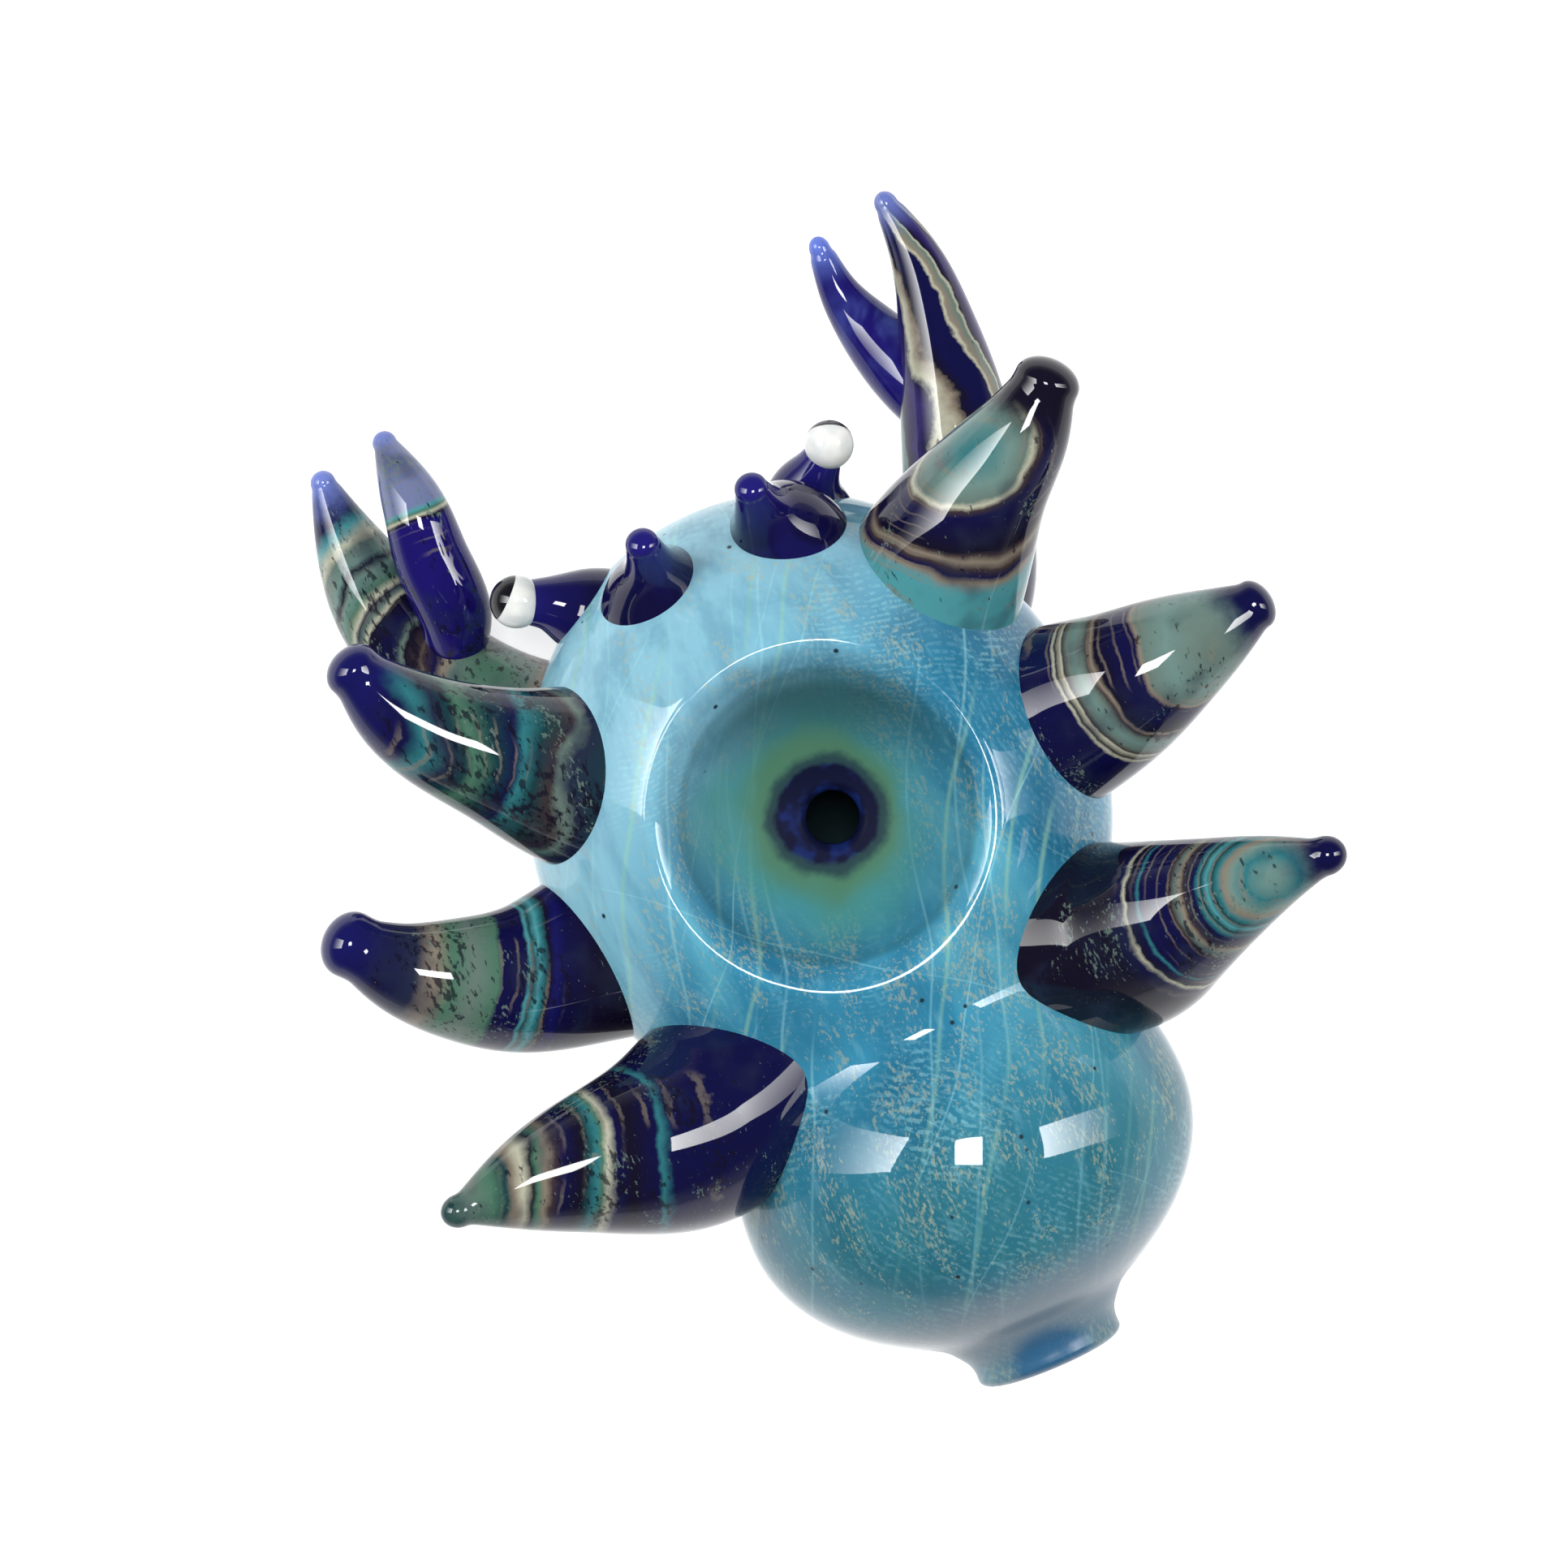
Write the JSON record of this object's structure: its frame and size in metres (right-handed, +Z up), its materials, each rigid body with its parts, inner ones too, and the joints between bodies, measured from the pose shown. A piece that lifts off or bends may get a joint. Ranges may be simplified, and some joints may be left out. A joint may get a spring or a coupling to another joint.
{
  "type": "crab-shaped glass hand pipe",
  "caption": "Hand-made glass pipe shaped as a crab: round chamber with a pressed bowl, pinched waist, rear bulb, short neck, horn legs, two-finger claws, stalked eyes.",
  "frame": {"origin": "middle of the flat under the belly, on the table, straight below the bowl", "axes": "+Z up out of the bowl, +Y towards the claws and eyes, -Y towards the mouthpiece, +X to the crab's right seen from above"},
  "size_m": [0.0971, 0.1134, 0.0466],
  "materials": {
    "turquoise_glass": "polished clear casing over sky-blue glass with tan specks and fine yellow-green threads",
    "sea_green_glass": "polished clear casing over sea-green glass with specks and threads",
    "pale_neck_glass": "polished hazy blue-grey glass, fire-polished edge",
    "bowl_glass": "polished turquoise glass, pressed",
    "cobalt_glass": "polished deep cobalt glass",
    "banded_glass": "polished agate-like bands of navy, teal, tan and cream",
    "striped_glass": "polished long stripes of navy, cream and lilac",
    "violet_glass": "polished transparent navy glass with a violet tint",
    "opal_white_glass": "polished opal white glass",
    "black_glass": "polished opaque black glass"
  },
  "bodies": {
    "root": {"chamber_shell": "turquoise_glass", "rear_bulb": "sea_green_glass", "neck_tube": "pale_neck_glass", "mouthpiece_lip": "pale_neck_glass", "bowl_dish": "bowl_glass", "bowl_hole_ring": "cobalt_glass", "leg_front_left": "banded_glass", "leg_tip_front_left": "cobalt_glass", "leg_middle_left": "banded_glass", "leg_tip_middle_left": "cobalt_glass", "leg_rear_left": "banded_glass", "leg_tip_rear_left": "cobalt_glass", "claw_arm_left": "striped_glass", "claw_fixed_finger_left": "striped_glass", "claw_free_finger_left": "cobalt_glass", "eye_stalk_left": "violet_glass", "eye_ball_left": "opal_white_glass", "eye_pupil_left": "black_glass", "brow_nub_left": "violet_glass", "leg_front_right": "banded_glass", "leg_tip_front_right": "cobalt_glass", "leg_middle_right": "banded_glass", "leg_tip_middle_right": "cobalt_glass", "leg_rear_right": "banded_glass", "leg_tip_rear_right": "cobalt_glass", "claw_arm_right": "striped_glass", "claw_fixed_finger_right": "striped_glass", "claw_free_finger_right": "cobalt_glass", "eye_stalk_right": "violet_glass", "eye_ball_right": "opal_white_glass", "eye_pupil_right": "black_glass", "brow_nub_right": "violet_glass"}
  },
  "joints": []
}
